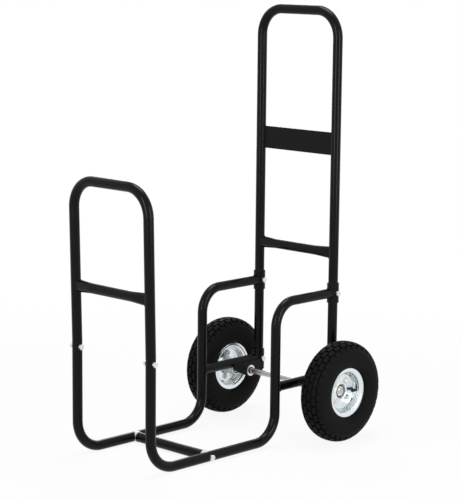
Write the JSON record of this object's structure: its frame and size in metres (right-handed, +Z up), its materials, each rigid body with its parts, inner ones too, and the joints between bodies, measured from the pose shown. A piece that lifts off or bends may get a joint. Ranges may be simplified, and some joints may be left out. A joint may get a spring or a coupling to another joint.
{
  "type": "fireside log cart",
  "caption": "Two-wheeled log cart of bent black steel tube: an open log bay between a low front hoop and a tall handle hoop, on air-filled tyres.",
  "frame": {"origin": "on the floor under the middle of the whole cart's box", "axes": "+Z up, +Y to the rear where the wheels and handle are, +X to the right when looking from the front hoop towards the wheels"},
  "size_m": [0.48, 0.7526, 1.0993],
  "materials": {
    "powder_coat": "gloss black powder coat on steel",
    "zinc": "bright zinc plate on steel",
    "rim_zinc": "bright zinc plate on pressed sheet steel",
    "plain_steel": "bright drawn steel",
    "black_spring": "blackened spring steel",
    "tyre_rubber": "black moulded rubber with block tread",
    "butyl": "black butyl inner tube, unseen",
    "valve_rubber": "black rubber over the valve stem",
    "cap_plastic": "black plastic dust cap"
  },
  "bodies": {
    "frame": {"front_hoop": "powder_coat", "front_crossbar": "powder_coat", "handle_hoop": "powder_coat", "handle_crossbar": "powder_coat", "back_plate": "powder_coat", "side_frame_left": "powder_coat", "side_frame_right": "powder_coat", "upper_sleeve_left": "powder_coat", "upper_sleeve_right": "powder_coat", "lower_sleeve_left": "powder_coat", "lower_sleeve_right": "powder_coat", "brace_left": "powder_coat", "brace_right": "powder_coat", "axle_bracket_left": "powder_coat", "axle_bracket_right": "powder_coat", "bottom_crossbar": "powder_coat", "saddle_spacers": "zinc", "axle": "plain_steel", "axle_inner_washers": "zinc", "axle_inner_clips": "black_spring", "axle_spacers": "zinc", "axle_end_washers": "zinc", "axle_end_clips": "zinc", "front_joint_bolts": "zinc", "front_joint_nuts": "zinc", "upper_sleeve_bolts": "zinc", "upper_sleeve_nuts": "zinc", "lower_sleeve_bolts": "zinc", "lower_sleeve_nuts": "zinc", "crossbar_bolts": "zinc"},
    "wheel_left": {"tyre_left": "tyre_rubber", "inner_tube_left": "butyl", "rim_outer_left": "rim_zinc", "rim_inner_left": "rim_zinc", "hub_tube_left": "plain_steel", "bearings_left": "plain_steel", "valve_stem_left": "valve_rubber", "valve_cap_left": "cap_plastic", "rim_bolts_left": "zinc", "rim_nuts_left": "zinc"},
    "wheel_right": {"tyre_right": "tyre_rubber", "inner_tube_right": "butyl", "rim_outer_right": "rim_zinc", "rim_inner_right": "rim_zinc", "hub_tube_right": "plain_steel", "bearings_right": "plain_steel", "valve_stem_right": "valve_rubber", "valve_cap_right": "cap_plastic", "rim_bolts_right": "zinc", "rim_nuts_right": "zinc"}
  },
  "joints": [
    {"name": "wheel_spin_left", "type": "hinge", "parent": "frame", "child": "wheel_left", "pos_m": [-0.205, 0.24685, 0.12948], "axis": [1, 0, 0], "continuous": true},
    {"name": "wheel_spin_right", "type": "hinge", "parent": "frame", "child": "wheel_right", "pos_m": [0.205, 0.24685, 0.12948], "axis": [1, 0, 0], "continuous": true}
  ]
}
